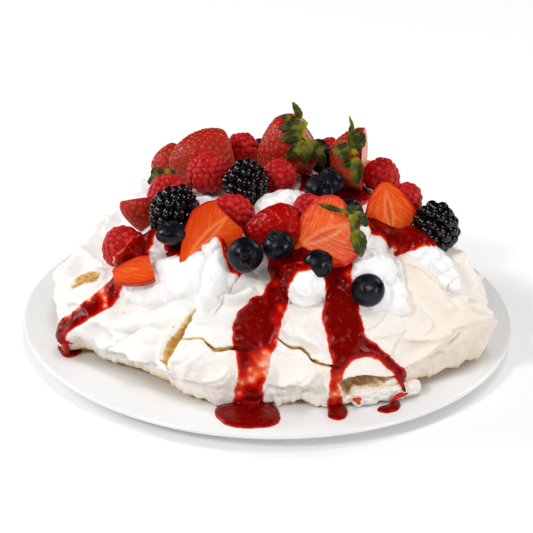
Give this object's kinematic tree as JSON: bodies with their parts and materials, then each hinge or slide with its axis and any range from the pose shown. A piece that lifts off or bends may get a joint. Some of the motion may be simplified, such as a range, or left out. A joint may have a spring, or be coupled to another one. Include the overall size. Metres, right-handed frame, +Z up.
{
  "type": "pavlova",
  "caption": "Round cracked meringue cake on a flat plate, heaped with whipped cream, mixed berries and cut fruit, with dark red sauce running down its sides.",
  "frame": {"origin": "middle of the plate's foot, on the surface that it stands on", "axes": "+Z up, -Y to the front with the two wide runs of sauce, +X to the right seen from the front"},
  "size_m": [0.25, 0.25, 0.1132],
  "materials": {
    "plate": "smooth white glaze",
    "meringue": "dry crisp baked foam, warm off-white, golden in its cracks",
    "cream": "soft whipped cream, cool white with a faint sheen",
    "dark_berry": "glossy black drupelets",
    "raspberry": "soft red drupelets with a slight bloom",
    "blueberry": "dark blue skin with a waxy bloom",
    "strawberry_skin": "glossy red skin with yellow-green seeds",
    "strawberry_flesh": "wet cut flesh, orange red with pale streaks",
    "leaf": "green leaf with a waxy sheen",
    "sauce": "thick glossy berry sauce, lighter where thin"
  },
  "bodies": {
    "root": {"plate": "plate", "meringue": "meringue", "cream": "cream", "dark_berry_1": "dark_berry", "dark_berry_2": "dark_berry", "dark_berry_3": "dark_berry", "dark_berry_4": "dark_berry", "raspberry_1": "raspberry", "raspberry_2": "raspberry", "raspberry_3": "raspberry", "raspberry_4": "raspberry", "raspberry_5": "raspberry", "raspberry_6": "raspberry", "raspberry_7": "raspberry", "raspberry_8": "raspberry", "raspberry_9": "raspberry", "raspberry_10": "raspberry", "raspberry_11": "raspberry", "raspberry_12": "raspberry", "blueberry_1": "blueberry", "blueberry_2": "blueberry", "blueberry_3": "blueberry", "blueberry_4": "blueberry", "blueberry_5": "blueberry", "blueberry_6": "blueberry", "blueberry_7": "blueberry", "blueberry_8": "blueberry", "blueberry_9": "blueberry", "blueberry_10": "blueberry", "blueberry_11": "blueberry", "strawberry_whole_1": "strawberry_skin", "strawberry_whole_2": "strawberry_skin", "strawberry_half_1": "strawberry_flesh", "strawberry_half_2": "strawberry_flesh", "strawberry_half_3": "strawberry_flesh", "strawberry_half_4": "strawberry_flesh", "strawberry_half_5": "strawberry_flesh", "strawberry_half_6": "strawberry_flesh", "strawberry_half_7": "strawberry_flesh", "strawberry_slice_1": "strawberry_flesh", "strawberry_wedge_1": "strawberry_flesh", "strawberry_wedge_2": "strawberry_skin", "calyx_1": "leaf", "calyx_2": "leaf", "calyx_3": "leaf", "calyx_4": "leaf"}
  },
  "joints": []
}
